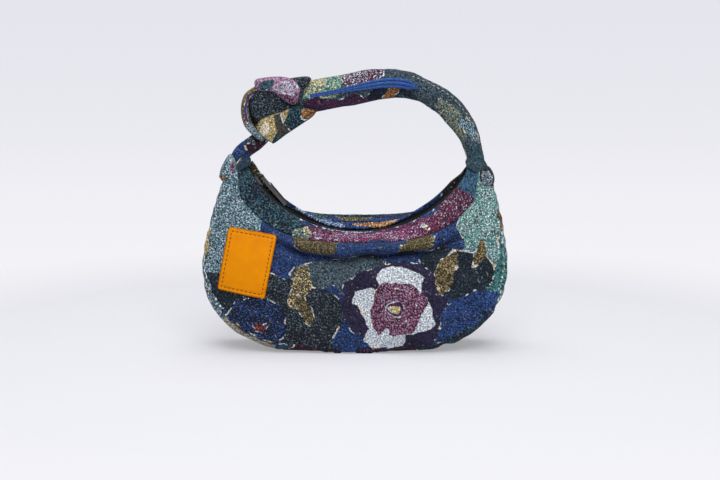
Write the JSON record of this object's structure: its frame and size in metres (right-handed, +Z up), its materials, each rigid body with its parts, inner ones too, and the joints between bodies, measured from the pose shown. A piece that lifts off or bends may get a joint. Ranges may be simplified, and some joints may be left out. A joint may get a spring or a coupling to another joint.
{
  "type": "small hobo bag",
  "caption": "Small crescent bag of woven tapestry cloth with a curved zip between two horns, a leather patch, and a padded top strap tied in a knot, for carrying small things by hand.",
  "frame": {"origin": "on the floor, under the middle of the overall box", "axes": "+X to the right as seen from the front, +Y to the back, +Z up; the patch is on the front, towards -Y"},
  "size_m": [0.25, 0.0722, 0.2316],
  "materials": {
    "blue_tapestry": "woven, matte",
    "teal_tapestry": "woven, matte",
    "plum_tapestry": "woven, matte",
    "lining_cloth": "plain woven",
    "zip_cloth": "black woven tape",
    "zip_nylon": "black nylon",
    "black_metal": "gloss black",
    "orange_leather": "grained, dark edge"
  },
  "bodies": {
    "bag": {"front_panel": "blue_tapestry", "back_panel": "blue_tapestry", "gusset": "teal_tapestry", "front_facing": "plum_tapestry", "back_facing": "plum_tapestry", "front_lining": "lining_cloth", "back_lining": "lining_cloth", "gusset_lining": "lining_cloth", "front_zip_tape": "zip_cloth", "back_zip_tape": "zip_cloth", "front_zip_teeth": "zip_nylon", "back_zip_teeth": "zip_nylon", "front_top_stop": "zip_nylon", "back_top_stop": "zip_nylon", "bottom_stop": "zip_nylon", "left_strap_root": "teal_tapestry", "right_strap_root": "teal_tapestry", "leather_patch": "orange_leather"},
    "slider": {"slider_body": "black_metal", "slider_bridge": "black_metal"},
    "pull": {"pull_tab": "black_metal"},
    "handle": {"strap_run": "plum_tapestry", "strap_knot": "teal_tapestry", "strap_stub": "blue_tapestry"}
  },
  "joints": [
    {"name": "zip_slide", "type": "hinge", "parent": "bag", "child": "slider", "pos_m": [0.003, 0, 0.2], "axis": [0, -1, 0], "range_deg": [0, 96], "deforming": ["front_zip_teeth", "back_zip_teeth"]},
    {"name": "pull_flip", "type": "hinge", "parent": "slider", "child": "pull", "pos_m": [-0.07742, 0, 0.14157], "axis": [0, -1, 0], "range_deg": [0, 110]},
    {"name": "handle_swing", "type": "hinge", "parent": "bag", "child": "handle", "pos_m": [-0.09368, 0, 0.16067], "axis": [1, 0, -0.0083], "range_deg": [-90, 90]}
  ]
}
